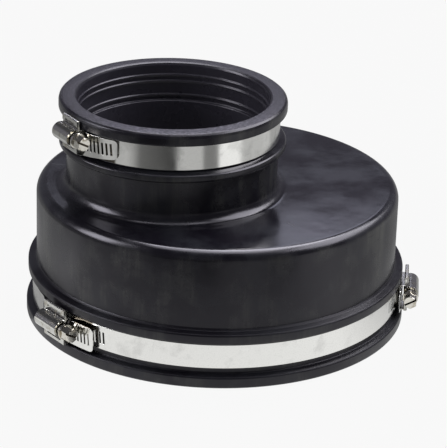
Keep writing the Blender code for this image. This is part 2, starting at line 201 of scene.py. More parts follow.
class Shading:
    """A material's node tree, with short ways to add what the materials share."""

    def __init__(self, name):
        self.material = bpy.data.materials.new(name)
        self.material.use_nodes = True
        self.tree = self.material.node_tree
        self.shader = self.tree.nodes["Principled BSDF"]
        self.place = self.add("ShaderNodeTexCoord").outputs["Object"]

    def add(self, kind, **values):
        node = self.tree.nodes.new(kind)
        for key, value in values.items():
            setattr(node, key, value)
        return node

    def link(self, source, target):
        self.tree.links.new(source, target)

    def split(self, vector):
        node = self.add("ShaderNodeSeparateXYZ")
        self.link(vector, node.inputs[0])
        return node.outputs

    def length(self, vector):
        node = self.add("ShaderNodeVectorMath", operation="LENGTH")
        self.link(vector, node.inputs[0])
        return node.outputs["Value"]

    def math(self, operation, a, b=None, c=None):
        node = self.add("ShaderNodeMath", operation=operation)
        for socket, value in zip(node.inputs, (a, b, c)):
            if isinstance(value, (int, float)):
                socket.default_value = value
            elif value is not None:
                self.link(value, socket)
        return node.outputs[0]

    def noise(self, scale, detail=2.0, rough=0.5, vector=None):
        node = self.add("ShaderNodeTexNoise")
        node.inputs["Scale"].default_value = scale
        node.inputs["Detail"].default_value = detail
        node.inputs["Roughness"].default_value = rough
        self.link(self.place if vector is None else vector, node.inputs["Vector"])
        return node.outputs["Fac"]

    def ramp(self, value, low, high, to_low=0.0, to_high=1.0):
        node = self.add("ShaderNodeMapRange", clamp=True, interpolation_type="SMOOTHSTEP")
        self.link(value, node.inputs["Value"])
        limits = {"From Min": low, "From Max": high, "To Min": to_low, "To Max": to_high}
        for key, number in limits.items():
            node.inputs[key].default_value = number
        return node.outputs["Result"]

    def both(self, *masks):
        """The product of the masks."""
        made = masks[0]
        for mask in masks[1:]:
            made = self.math("MULTIPLY", made, mask)
        return made

    def plus(self, value, mask, amount):
        """The value, with this amount added where the mask is 1."""
        return self.math("MULTIPLY_ADD", mask, amount, value)

    def mix(self, factor, a, b):
        node = self.add("ShaderNodeMix", data_type="RGBA")
        self.link(factor, node.inputs["Factor"])
        for socket, value in ((node.inputs[6], a), (node.inputs[7], b)):
            if isinstance(value, tuple):
                socket.default_value = (*value, 1.0)
            else:
                self.link(value, socket)
        return node.outputs[2]

    def round_axis(self, centre_x):
        """Vector of angle round an upright axis, distance from it and height, in metres."""
        parts = self.split(self.place)
        across = self.math("SUBTRACT", parts["X"], centre_x)
        flat = self.add("ShaderNodeCombineXYZ")
        self.link(across, flat.inputs["X"])
        self.link(parts["Y"], flat.inputs["Y"])
        joined = self.add("ShaderNodeCombineXYZ")
        self.link(self.math("ARCTAN2", parts["Y"], across), joined.inputs["X"])
        self.link(self.length(flat.outputs[0]), joined.inputs["Y"])
        self.link(parts["Z"], joined.inputs["Z"])
        return joined.outputs[0]

    def scaled(self, vector, x, y, z):
        node = self.add("ShaderNodeMapping")
        self.link(vector, node.inputs["Vector"])
        node.inputs["Scale"].default_value = (x, y, z)
        return node.outputs[0]

    def finish(self, colour, rough, *layers):
        """Colour, roughness and chained bumps of (height, distance in metres, strength)."""
        self.link(colour, self.shader.inputs["Base Color"])
        self.link(rough, self.shader.inputs["Roughness"])
        normal = None
        for height, distance, strength in layers:
            node = self.add("ShaderNodeBump")
            node.inputs["Distance"].default_value = distance
            node.inputs["Strength"].default_value = strength
            self.link(height, node.inputs["Height"])
            if normal is not None:
                self.link(normal, node.inputs["Normal"])
            normal = node.outputs["Normal"]
        self.link(normal, self.shader.inputs["Normal"])


def rubber():
    """Moulded black rubber, with film and scuffs on its walls, and dust with painted fill light in
    the small bore.

    The small rim is a dull cut face with rubbed scratches, painted lighter towards its -Y side as a
    painted highlight, and the ledges by the large band are duller than the walls.
    """
    look = Shading("rubber")
    around = look.round_axis(0.0)
    at_neck = look.round_axis(-OFFSET * MM)
    turn, reach, height = look.split(at_neck)
    facing = look.add("ShaderNodeNewGeometry")
    upright = look.split(facing.outputs["Normal"])["Z"]

    cloud = look.noise(34.0, 4.0, 0.6)
    grain = look.noise(2600.0, 2.0, 0.6)
    pebble = look.noise(420.0, 3.0, 0.6)
    streak = look.noise(1.0, 4.0, 0.65, look.scaled(around, 5.0, 1.0, 420.0))
    smear = look.noise(1.0, 4.0, 0.62, look.scaled(around, 7.0, 1.0, 24.0))
    hatch = look.noise(1.0, 3.0, 0.6, look.scaled(around, 70.0, 1.0, 22.0))
    rubbed = look.noise(1.0, 4.0, 0.7, look.scaled(at_neck, 26.0, 1500.0, 600.0))

    # Where each thing shows, from 0 to 1
    scuff = look.both(look.ramp(streak, 0.60, 0.72), look.ramp(cloud, 0.50, 0.62))
    side = look.ramp(upright, 0.6, 0.2)
    film = look.both(look.ramp(smear, 0.40, 0.66), look.ramp(cloud, 0.38, 0.60))
    film = look.both(film, look.ramp(hatch, 0.35, 0.65, 0.45, 1.0), side)
    top = look.ramp(height, (HEIGHT - 2.0) * MM, (HEIGHT - 0.8) * MM)
    cut_face = look.both(look.ramp(upright, 0.80, 0.97), top)
    inside = look.ramp(reach, (SMALL_BORE_R + 0.5) * MM, SMALL_BORE_R * MM)
    # Painted highlight: the rim's rubbed marks are weighted lighter towards its -Y side.
    painted_lit_side = look.both(
        look.ramp(turn, math.radians(-170), math.radians(-110)),
        look.ramp(turn, math.radians(-10), math.radians(-70)),
    )
    wear_and_light = look.math("MULTIPLY_ADD", painted_lit_side, 0.75, 0.25)
    worn_and_lit = look.both(cut_face, look.ramp(rubbed, 0.47, 0.62), wear_and_light)
    low = look.ramp(height, (WALL_FOOT_Z + 0.3) * MM, (WALL_FOOT_Z - 0.7) * MM)
    ledge = look.both(low, look.ramp(upright, 0.10, 0.45))

    colour = look.mix(look.ramp(cloud, 0.38, 0.64), RUBBER_DARK, RUBBER_LIGHT)
    colour = look.mix(film, colour, RUBBER_FILM)
    colour = look.mix(scuff, colour, RUBBER_SCUFF)
    # Painted light: the small bore's colour is lifted above the rubber's, with a dusty mottle.
    colour = look.mix(inside, colour, look.mix(pebble, BORE_PAINTED_FILL, BORE_DUST_AND_FILL))
    colour = look.mix(cut_face, colour, CUT_FACE)
    colour = look.mix(worn_and_lit, colour, CUT_FACE_WORN_AND_LIT)

    rough = look.ramp(cloud, 0.32, 0.68, 0.12, 0.22)
    rough = look.plus(rough, scuff, 0.16)
    rough = look.plus(rough, look.ramp(upright, 0.97, 0.80), 0.10)
    rough = look.plus(rough, cut_face, 0.27)
    rough = look.plus(rough, low, 0.08)
    rough = look.plus(rough, ledge, 0.10)

    shine = look.math("MULTIPLY_ADD", ledge, -0.24, 0.5)
    shine = look.plus(shine, cut_face, -0.20)
    look.link(shine, look.shader.inputs["Specular IOR Level"])
    look.shader.inputs["IOR"].default_value = 1.43
    look.shader.inputs["Specular Tint"].default_value = (0.93, 0.91, 1.0, 1.0)
    look.finish(
        colour,
        rough,
        (look.noise(22.0, 3.0, 0.5), 0.0008, 0.4),
        (pebble, 0.00004, 0.18),
        (grain, 0.00002, 0.18),
        (streak, 0.00002, 0.12),
        (worn_and_lit, 0.00006, 0.30),
    )
    return look.material


def strip_steel(name, centre_x, base, gloss, scratches, covered, under):
    """Rolled stainless strip: fine lines along its length and a few cloudy marks.

    covered lists the turns, in degrees from and to, where a tail lies over the strip, and under is
    the radius it lies beyond. The strip is painted dark there, as painted shade under the tail.
    """
    look = Shading(name)
    around = look.round_axis(centre_x)
    turn, reach, _ = look.split(around)
    lines = look.noise(1.0, 3.0, 0.6, look.scaled(around, 2.2, 1.0, 5200.0))
    cross = look.noise(1.0, 2.0, 0.6, look.scaled(around, 90.0, 1.0, 800.0))
    fine = look.noise(1.0, 3.0, 0.7, look.scaled(around, 160.0, 1.0, 1900.0))
    mark = look.ramp(look.noise(70.0, 3.0, 0.6), 0.52, 0.70)
    speck = look.math("MULTIPLY", look.ramp(fine, 0.50, 0.72), scratches * 0.6)
    colour = look.mix(mark, base, tuple(0.86 * part for part in base))
    colour = look.mix(speck, colour, tuple(0.45 * part for part in base))
    below = look.ramp(reach, under, under - 0.0004)
    # Painted shade: the strip is darkened where a tail lies over it.
    for start, end in covered:
        past = look.ramp(turn, math.radians(start - 1), math.radians(start + 1))
        before = look.ramp(turn, math.radians(end + 1), math.radians(end - 1))
        colour = look.mix(look.both(past, before, below), colour, SHADE_UNDER_TAIL)
    look.shader.inputs["Metallic"].default_value = 1.0
    rough = look.math("MULTIPLY_ADD", mark, 0.07, gloss)
    rough = look.plus(rough, lines, 0.06)
    look.finish(
        colour,
        rough,
        (look.noise(30.0, 1.0, 0.4), 0.0004, 0.06 * scratches),
        (lines, 0.000012, 0.20 * scratches),
        (cross, 0.00002, 0.25 * scratches),
    )
    return look.material


def pressed_steel(name, base, gloss, marks):
    """Pressed and tumbled stainless: small dents, stains and fine scratches.

    Faces inside a screwdriver slot, marked 1 by a face attribute, are painted dark as shade in the
    slot.
    """
    look = Shading(name)
    dents = look.noise(700.0, 2.0, 0.5)
    scratch = look.noise(1.0, 3.0, 0.7, look.scaled(look.place, 900.0, 2600.0, 700.0))
    stain = look.math("MULTIPLY", look.ramp(look.noise(260.0, 3.0, 0.6), 0.48, 0.68), marks)
    colour = look.mix(stain, base, tuple(part * tone for part, tone in zip(base, STAIN_TONE)))
    slot_shade = look.add("ShaderNodeAttribute", attribute_name="slot_shade")
    # Painted shade: faces marked as inside the screwdriver slot are darkened.
    colour = look.mix(slot_shade.outputs["Fac"], colour, SLOT_SHADE)
    look.shader.inputs["Metallic"].default_value = 1.0
    rough = look.math("MULTIPLY_ADD", stain, 0.15, gloss)
    rough = look.plus(rough, scratch, 0.08)
    look.finish(colour, rough, (dents, 0.00006, 0.35), (scratch, 0.00001, 0.25))
    return look.material


RUBBER = rubber()
SMALL_STRIP = strip_steel(
    "small_strip", -OFFSET * MM, STRIP, 0.09, 1.0, SMALL_COVERED, (SMALL_CHANNEL_R + 2.4) * MM
)
LARGE_STRIP = strip_steel(
    "large_strip", 0.0, STRIP, 0.12, 0.5, LARGE_COVERED, (LARGE_CHANNEL_R + 2.6) * MM
)
HOUSING_STEEL = pressed_steel("housing_steel", (0.60, 0.60, 0.57), 0.10, 0.6)
SADDLE_STEEL = pressed_steel("saddle_steel", (0.62, 0.62, 0.59), 0.18, 0.7)
SCREW_STEEL = pressed_steel("screw_steel", (0.70, 0.68, 0.62), 0.12, 0.7)


# --- mesh helpers ----------------------------------------------------------------------------


def add_mesh(name, points, faces, look):
    """A mesh object from points in mm."""
    mesh = bpy.data.meshes.new(name)
    mesh.from_pydata([Vector(point) * MM for point in points], [], faces)
    mesh.validate()
    mesh.materials.append(look)
    made = bpy.data.objects.new(name, mesh)
    bpy.context.scene.collection.objects.link(made)
    return made


def add_piece(name, points, faces, look, sharp_angle):
    """A closed mesh from points in mm, with edges sharper than the angle kept sharp."""
    made = add_mesh(name, points, faces, look)
    face_outwards(made.data)
    made.data.shade_smooth()
    made.data.set_sharp_from_angle(angle=math.radians(sharp_angle))
    return made


def face_outwards(mesh):
    """Turns all faces over if the closed mesh is inside out."""
    volume = 0.0
    corners = mesh.vertices
    for face in mesh.polygons:
        ring = [corners[index].co for index in face.vertices]
        for b, c in zip(ring[1:], ring[2:]):
            volume += ring[0].dot(b.cross(c))
    if volume < 0:
        mesh.flip_normals()


def round_edges(piece):
    change = piece.modifiers.new("edges", "BEVEL")
    change.width = EDGE_ROUND * MM
    change.segments = 2
    change.limit_method = "ANGLE"
    change.angle_limit = math.radians(40)
    change.harden_normals = True


def apply_modifiers(piece):
    shown = piece.evaluated_get(bpy.context.evaluated_depsgraph_get())
    mesh = bpy.data.meshes.new_from_object(shown)
    piece.modifiers.clear()
    piece.data = mesh


def place(piece, body, node):
    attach(piece, body)
    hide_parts(node)


def ring_faces(rings, segments, closed):
    """The faces between rings of points, with the last ring joined to the first if closed."""
    faces = []
    last = rings if closed else rings - 1
    for i in range(last):
        a = i * segments
        b = ((i + 1) % rings) * segments
        for k in range(segments):
            n = (k + 1) % segments
            faces.append((a + k, a + n, b + n, b + k))
    return faces


def arc(centre, radius, start, end, steps):
    """Points round a centre, between two angles in degrees."""
    points = []
    for i in range(steps + 1):
        angle = math.radians(start + (end - start) * i / steps)
        points.append((centre[0] + radius * math.cos(angle), centre[1] + radius * math.sin(angle)))
    return points


def rounded(line, radius, steps):
    """A polyline with each corner turned into a short curve. Nearly straight corners stay."""
    made = []
    count = len(line)
    for i, here in enumerate(line):
        if i in (0, count - 1):
            made.append(tuple(here))
            continue
        here = Vector(here)
        back = Vector(line[i - 1]) - here
        on = Vector(line[i + 1]) - here
        doubled = back.length < NEAR or on.length < NEAR
        turn = 0.0 if doubled else math.pi - back.angle(on)
        if turn < STRAIGHT:
            made.append(tuple(here))
            continue
        reach = min(radius * math.tan(turn / 2), 0.45 * back.length, 0.45 * on.length)
        first = here + back.normalized() * reach
        last = here + on.normalized() * reach
        for k in range(steps + 1):
            t = k / steps
            made.append(tuple(first * (1 - t) ** 2 + here * 2 * t * (1 - t) + last * t * t))
    return made


# --- sleeve ----------------------------------------------------------------------------------


def ribs(radius, heights):
    """A bore's sealing ribs, from the top one down."""
    points = []
    for z in heights:
        points += [(radius, z + RIB), (radius - RIB, z), (radius, z - RIB)]
    return points


def large_outside():
    """The outside of the large socket, from its rim up to the wall's foot."""
    floor, top = LARGE_CHANNEL_Z
    side = LARGE_BEAD_R - 0.6
    line = [(RIM_R - 0.8, 0.0), (RIM_R, 0.8), (RIM_R, LARGE_LIP_Z)]
    line += [(RIM_R - 0.6, LARGE_LIP_Z + 0.8), (RIM_R - 4.0, LARGE_LIP_Z + 1.5)]
    line += [(LARGE_CHANNEL_R, floor), (LARGE_CHANNEL_R, top), (side, top)]
    line += [(LARGE_BEAD_R, top + 0.6), (LARGE_BEAD_R, LARGE_BEAD_Z), (side, LARGE_BEAD_Z + 0.8)]
    return line + [(WALL_R + 1.0, WALL_FOOT_Z - 1.1), (WALL_R, WALL_FOOT_Z)]


def small_outside():
    """The outside of the small collar, from the neck's top up to the rim."""
    low, high = SMALL_BEAD_Z
    floor, top = SMALL_CHANNEL_Z
    start, end = SMALL_RIM_Z
    line = [(NECK_R, NECK_TOP_Z), (SMALL_BEAD_R - 0.8, low - 1.0), (SMALL_BEAD_R, low)]
    line += [(SMALL_BEAD_R, high), (SMALL_BEAD_R - 0.9, high + 0.8)]
    line += [(SMALL_CHANNEL_R + 0.3, floor - 0.5), (SMALL_CHANNEL_R, floor), (SMALL_CHANNEL_R, top)]
    line += [(SMALL_RIM_R - 0.7, top), (SMALL_RIM_R, start), (SMALL_RIM_R, end)]
    line += [(SMALL_RIM_R - 0.4, end + 1.5), (SMALL_RIM_R - 1.5, end + 2.5)]
    return line + [(SMALL_RIM_R - 3.1, HEIGHT)]


def small_inside(slab_under):
    """The small bore, from the rim down to the slab's under side."""
    ledge = SMALL_BORE_R - STOP_LEDGE
    line = [(SMALL_BORE_R + 1.6, HEIGHT), (SMALL_BORE_R + 0.5, HEIGHT - 0.6)]
    line += [(SMALL_BORE_R, HEIGHT - 1.8)] + ribs(SMALL_BORE_R, SMALL_RIB_Z)
    line += [(SMALL_BORE_R, SMALL_STOP_Z), (ledge, SMALL_STOP_Z)]
    return line + [(ledge, slab_under + 1.2), (ledge + 1.2, slab_under)]


def large_inside(slab_under):
    """The large bore, from the slab's under side down to the rim."""
    ledge = LARGE_BORE_R - STOP_LEDGE
    line = [(ledge - 6.0, slab_under), (ledge - 1.8, slab_under - 1.4), (ledge, slab_under - 5.2)]
    line += [(ledge, LARGE_STOP_Z), (LARGE_BORE_R, LARGE_STOP_Z)]
    line += ribs(LARGE_BORE_R, LARGE_RIB_Z)
    return line + [(LARGE_BORE_R, 1.0), (LARGE_BORE_R + 1.0, 0.0)]


def make_sleeve():
    """One surface of rings: out over the slab to the offset neck, and back through the bores."""
    large_out = large_outside()
    small_out = small_outside()
    small_in = small_inside(SLAB_TOP_Z - SLAB_THICK)
    large_in = large_inside(SLAB_TOP_Z - SLAB_THICK)
    corner = (WALL_R - SHOULDER_R, SLAB_TOP_Z - SHOULDER_R)
    shoulder = arc(corner, SHOULDER_R, 0, 90, 12)
    corner = (NECK_R + NECK_FILLET, SLAB_TOP_Z + NECK_FILLET)
    fillet = arc(corner, NECK_FILLET, 270, 180, 10)
    outside = large_in[-1:] + large_out + shoulder[:1]
    outside = rounded(outside, SLEEVE_ROUND, BEND_STEPS)[1:-1] + shoulder
    upper = fillet[-1:] + small_out + small_in[:1]
    upper = fillet[:-1] + rounded(upper, SLEEVE_ROUND, BEND_STEPS)[:-1]
    bore = rounded(small_out[-1:] + small_in, SMALL_BORE_ROUND, 3)[1:]
    inside = rounded(large_in + large_out[:1], LARGE_BORE_ROUND, 3)[:-1]
    rings = [(0.0, r, z) for r, z in outside]
    rings += [(-OFFSET, r, z) for r, z in upper + bore]
    rings += [(0.0, r, z) for r, z in inside]
    points = []
    for x, r, z in rings:
        for k in range(SEGMENTS):
            angle = 2 * math.pi * k / SEGMENTS
            points.append((x + r * math.cos(angle), r * math.sin(angle), z))
    faces = ring_faces(len(rings), SEGMENTS, True)
    sleeve = add_piece("moulded_sleeve", points, faces, RUBBER, 50)
    place(sleeve, "sleeve", "rubber_sleeve")


# --- clamps ----------------------------------------------------------------------------------


def smoothstep(x):
    """0 below 0, 1 above 1, and a soft step between."""
    x = min(max(x, 0.0), 1.0)
    return x * x * (3 - 2 * x)


def unit(angle):
    return Vector((math.cos(angle), math.sin(angle), 0.0))


class Station:
    """Where a housing sits on its clamp, read from its screw's joint and its passing band.

    floor is the channel's radius, half the housing's half length, flange its half width and tail
    how far the band's tail runs past its middle, in mm. bend is how much tighter than the channel
    the tail curves beyond the housing.
    """

    def __init__(self, screw_joint, centre_x, floor, band, bend, half, flange, tail):
        joint = JOINTS[screw_joint]
        low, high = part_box(band)
        at = Vector(joint["pos_m"]) / MM
        way = Vector(joint["axis"])
        self.x = centre_x
        self.floor = floor
        self.z = (low.z + high.z) / 2 / MM
        self.angle = math.atan2(at.y, at.x - centre_x)
        self.rise = at.z - self.z
        self.out = unit(self.angle)
        self.side = 1 if way.dot(Vector((-self.out.y, self.out.x, 0.0))) > 0 else -1
        self.along = Vector((-self.out.y, self.out.x, 0.0)) * self.side
        self.foot = Vector((centre_x, 0.0, self.z)) + self.out * floor
        self.bend = bend
        self.half = half
        self.flange = flange
        self.tail = tail

    def point(self, s, w, u):
        """s mm along the screw, w mm out from the channel floor, u mm up."""
        return self.foot + self.along * s + self.out * w + Vector((0.0, 0.0, u))

    def wrapped(self, s, w, u):
        """The same, wrapped round the clamp's circle."""
        angle = self.angle + self.side * s / self.floor
        return Vector((self.x, 0.0, self.z + u)) + unit(angle) * (self.floor + w)

    def band(self, t):
        """A point on the passing band's inner face, t mm from the housing, and its normal."""
        before, length = TAIL_RISE
        risen = smoothstep((t + self.half + before) / length)
        radius = self.floor + BAND_GAP + (TAIL_LIFT - BAND_GAP) * risen
        out = unit(self.angle + self.side * min(t, self.half) / self.floor)
        at = Vector((self.x, 0.0, self.z)) + out * radius
        if t <= self.half:
            return at, out
        way = Vector((-out.y, out.x, 0.0)) * self.side
        more = (t - self.half) * radius / self.floor
        curve = radius / self.bend
        turn = more / curve
        at = at - out * curve * (1 - math.cos(turn)) + way * curve * math.sin(turn)
        return at, out * math.cos(turn) + way * math.sin(turn)


SMALL = Station(
    "small_screw_spin", -OFFSET, SMALL_CHANNEL_R, "small_band", 1.4, 8.5, 9.0, 31.0
)
LEFT = Station(
    "large_left_screw_spin", 0.0, LARGE_CHANNEL_R, "large_rear_band", 1.0, 10.3, 10.0, 28.4
)
RIGHT = Station(
    "large_right_screw_spin", 0.0, LARGE_CHANNEL_R, "large_rear_band", 0.9, 10.3, 10.0, 17.5
)


def thick_sheet(name, inner, outer, present, look):
    """A closed sheet-metal piece between two grids of points, over the cells that are present."""
    columns = len(inner)
    rows = len(inner[0])
    points = []
    index = {}

    def vertex(side, i, j):
        key = (side, i, j)
        if key not in index:
            index[key] = len(points)
            points.append((inner, outer)[side][i][j])
        return index[key]

    cells = {(i, j) for i in range(columns - 1) for j in range(rows - 1) if present(i, j)}
    faces = []
    for i, j in sorted(cells):
        corners = [(i, j), (i + 1, j), (i + 1, j + 1), (i, j + 1)]
        faces.append([vertex(1, *corner) for corner in corners])
        faces.append([vertex(0, *corner) for corner in reversed(corners)])
        for k, beyond in enumerate([(i, j - 1), (i + 1, j), (i, j + 1), (i - 1, j)]):
            if beyond not in cells:
                a = corners[k]
                b = corners[(k + 1) % 4]
                faces.append([vertex(1, *b), vertex(1, *a), vertex(0, *a), vertex(0, *b)])
    made = add_piece(name, points, faces, look, 30)
    round_edges(made)
    return made


def fixed_lift(t, half):
    """How far a fixed end, t mm from the housing's middle, stands off the channel's floor."""
    before, length = END_RISE
    return BAND_GAP + (END_LIFT - BAND_GAP) * smoothstep((half + before - t) / length)


def slot_marks(start, end):
    """Where the slots begin and end along the band, the last one ending at the end."""
    count = int((end - start) / SLOT_PITCH)
    marks = [end - i * SLOT_PITCH for i in reversed(range(count))]
    return [(mark - SLOT_WIDTH, mark) for mark in marks]


def mirrored(slots, length):
    """The slots as measured from the band's other end."""
    return [(length - b, length - a) for a, b in reversed(slots)]


def straight_edge(_):
    return 0.0


def band_stations(start, end, slots, rounds):
    """Places along a band with how much each edge is trimmed, and which stretches are slots."""
    turns = [math.radians(90 * i / CORNER_STEPS) for i in range(CORNER_STEPS + 1)]
    trims = [(CORNER_R * (1 - math.sin(a)), CORNER_R * (1 - math.cos(a))) for a in turns]
    first = start + CORNER_R if rounds[0] else start
    last = end - CORNER_R if rounds[1] else end
    marks = sorted({first, last, *(edge for slot in slots for edge in slot)})
    stations = [(start + d, cut) for d, cut in reversed(trims[1:])] if rounds[0] else []
    flags = [False] * len(stations)
    for a, b in zip(marks, marks[1:]):
        is_slot = any(abs(a - x) < NEAR and abs(b - y) < NEAR for x, y in slots)
        cuts = 1 if is_slot else max(1, math.ceil((b - a) / BAND_STEP))
        for i in range(cuts):
            stations.append((a + (b - a) * i / cuts, 0.0))
            flags.append(is_slot)
    stations.append((last, 0.0))
    for d, cut in trims[1:] if rounds[1] else []:
        flags.append(False)
        stations.append((end - d, cut))
    return stations, flags


def make_band(name, path, start, end, slots, slant, rounds, look, narrowing=straight_edge):
    """A slotted strip along a path. rounds says which of its two ends has rounded corners."""
    half = BAND_WIDTH / 2
    stations, flags = band_stations(start, end, slots, rounds)
    inner = []
    outer = []
    for i, (d, cut) in enumerate(stations):
        beside = (i < len(flags) and flags[i]) or (i > 0 and flags[i - 1])
        forward = slant if beside else 0.0
        raised = narrowing(d)
        slot_half = min(SLOT_HALF, half - cut - raised / 2 - SLOT_MARGIN)
        heights = ((raised + cut - half, -forward), (raised / 2 - slot_half, -forward))
        heights += ((raised / 2 + slot_half, forward), (half - cut, forward))
        low = []
        high = []
        for u, lean in heights:
            at, out = path(d + lean)
            at = at + Vector((0.0, 0.0, u))
            low.append(at)
            high.append(at + out * BAND_THICK)
        inner.append(low)
        outer.append(high)
    return thick_sheet(name, inner, outer, lambda i, j: not (flags[i] and j == 1), look)


def offset_line(line, thick):
    """A polyline's two faces, thick mm apart, as seen across its section."""
    low = []
    high = []
    for i, here in enumerate(line):
        before = line[max(i - 1, 0)]
        after = line[min(i + 1, len(line) - 1)]
        ins = Vector((here[0] - before[0], here[1] - before[1]))
        outs = Vector((after[0] - here[0], after[1] - here[1]))
        ins = ins.normalized() if ins.length > 0 else outs.normalized()
        outs = outs.normalized() if outs.length > 0 else ins
        normal = Vector((-ins.y - outs.y, ins.x + outs.x)).normalized()
        reach = thick / 2 / max(normal.dot(Vector((-ins.y, ins.x))), 0.5)
        low.append((here[0] - normal.x * reach, here[1] - normal.y * reach))
        high.append((here[0] + normal.x * reach, here[1] + normal.y * reach))
    return low, high


def make_housing(name, station):
    """The stamped cap: a barrel over the screw with a flange on each side."""
    edge = math.degrees(math.acos((FLANGE_LIFT + BARREL_FOOT - SCREW_LIFT) / BARREL_R))
    barrel = arc((SCREW_LIFT, 0.0), BARREL_R, -edge, edge, BARREL_STEPS)
    line = [(FLANGE_LIFT, -station.flange), (FLANGE_LIFT, -BARREL_R - FLANGE_GAP)]
    left = rounded(line + barrel[:2], HOUSING_BEND, BEND_STEPS)[:-1]
    right = [(w, -u) for w, u in reversed(left)]
    line = left + barrel[1:-1] + right
    line = [(w, u + station.rise) for w, u in line]
    low, high = offset_line(line, HOUSING_THICK)
    flared = offset_line(line, HOUSING_THICK + 2 * LIP)[1]
    half = station.half
    stops = [half * (i / 4 - 1) for i in range(8)] + [half - LIP_START, half - LIP_FULL, half]
    inner = [[station.point(s, w, u) for w, u in low] for s in stops]
    outer = [[station.point(s, w, u) for w, u in high] for s in stops[:-2]]
    outer += [[station.point(s, w, u) for w, u in flared] for s in stops[-2:]]
    return thick_sheet(name, inner, outer, lambda i, j: True, HOUSING_STEEL)


def make_saddle(name, station):
    """The plate under the passing band. Its edges fold over the housing's flanges."""
    plate = SADDLE_LIFT + SADDLE_THICK / 2
    wall = BAND_WIDTH / 2 + WALL_CLEAR + SADDLE_THICK / 2
    apart = HOUSING_THICK / 2 + FOLD_CLEAR + SADDLE_THICK / 2
    over = FLANGE_LIFT + apart
    under = FLANGE_LIFT - apart
    reach = station.flange + FOLD_SIDE_CLEAR + SADDLE_THICK / 2

    def side(sign):
        tip = reach + sign * station.rise
        turned = [(over, tip - FOLD / 2 - 0.1), (over, tip)]
        if tip > wall + WALL_LEFT:
            turned += [(under, tip), (under, wall)]
        else:
            turned.append((TAIL_LIFT + BAND_THICK + WALL_LEFT, wall))
        turned += [(plate, wall), (plate, wall - SADDLE_MARGIN)]
        line = [(over, tip - FOLD)] + rounded(turned, SADDLE_BEND, BEND_STEPS)
        return [(w, sign * u) for w, u in line]

    line = side(-1) + list(reversed(side(1)))
    low, high = offset_line(line, SADDLE_THICK)
    half = station.half - SADDLE_SHORTER
    notch = station.half - WINDOW_FROM_END
    stops = [-half, -half + 1.5, -notch, -notch / 2, 0.0, notch / 2, notch, half - 1.5, half]
    folds = {0, len(line) - 2}
    window = {i for i, s in enumerate(stops) if -notch <= s < notch - NEAR}

    def placed(s, w, u):
        flat = station.point(s, w, u)
        return flat if w > plate + 1.0 else station.wrapped(s, w, u)

    def present(i, j):
        return not (j in folds and i in window)

    inner = [[placed(s, w, u) for w, u in low] for s in stops]
    outer = [[placed(s, w, u) for w, u in high] for s in stops]
    return thick_sheet(name, inner, outer, present, SADDLE_STEEL)


def thread_height(s, turn, start, end):
    """How far the thread stands above the root, from 0 to 1."""
    off = (s - start - SLOT_PITCH * turn / (2 * math.pi)) % SLOT_PITCH
    off = min(off, SLOT_PITCH - off)
    ends = min(smoothstep((s - start) / THREAD_FADE), smoothstep((end - s) / THREAD_FADE))
    return min(1.0, max(0.0, (THREAD_BASE - off) / (THREAD_BASE - THREAD_FLAT))) * ends


def hexagon(turn, s, face, end):
    """The head's radius at a turn, with its two rims chamfered round."""
    off = (turn + math.pi / 6) % (math.pi / 3) - math.pi / 6
    r = HEX_FLATS / 2 / math.cos(off)
    return min(r, HEX_FACE * HEX_FLATS / 2 + HEX_SLOPE * min(end - s + 0.1, s - face + 0.35))


def make_screw(name, station):
    """Worm, neck, collar and a slotted hexagonal head on one axis, all one turned surface."""
    half = station.half
    start = 0.2 - half
    seat = half + NECK
    face = seat + COLLAR_LENGTH
    end = face + HEAD_LENGTH
    thread = (1.0 - half, half - 1.0)
    length = thread[1] - thread[0]
    count = int(length / THREAD_STEP)
    turned = [(start, 2.4), (start + 0.2, 2.8), (start + 0.6, ROOT_R)]
    turned += [(thread[0] + length * i / count, ROOT_R) for i in range(count + 1)]
    turned += [(seat - 0.3, ROOT_R), (seat - 0.1, COLLAR_R - 0.25), (seat + 0.05, COLLAR_R)]
    turned += [(seat + 1.15, COLLAR_R), (seat + 1.3, COLLAR_R - 0.2)]
    hexed = [face + step for step in (-0.2, 0.15, 0.3, 0.5)] + [end - HEAD_LENGTH / 2]
    hexed += [end - step for step in (0.9, 0.6, 0.45, 0.3, 0.15, 0.0)]
    rings = [(s, radius, False) for s, radius in turned] + [(s, 0.0, True) for s in hexed]
    points = []
    for s, radius, is_head in rings:
        threaded = not is_head and thread[0] <= s <= thread[1]
        for k in range(SCREW_SIDES):
            turn = 2 * math.pi * k / SCREW_SIDES
            r = hexagon(turn, s, face, end) if is_head else radius
            if threaded:
                r += (WORM_R - ROOT_R) * thread_height(s, turn, *thread)
            u = station.rise + station.side * r * math.sin(turn)
            points.append(station.point(s, SCREW_LIFT + r * math.cos(turn), u))
    faces = ring_faces(len(rings), SCREW_SIDES, False)
    faces.append(tuple(reversed(range(SCREW_SIDES))))
    faces.append(tuple(range(len(points) - SCREW_SIDES, len(points))))
    screw = add_piece(name, points, faces, SCREW_STEEL, 28)
    cut_driver_slot(screw, station, end)
    return screw


def driver_point(station, s, across, wide):
    """A point by the screwdriver slot, across mm along it and wide mm to its side."""
    cos = math.cos(DRIVER_TURN)
    sin = math.sin(DRIVER_TURN)
    w = SCREW_LIFT + across * cos - wide * sin
    return station.point(s, w, station.rise + across * sin + wide * cos)


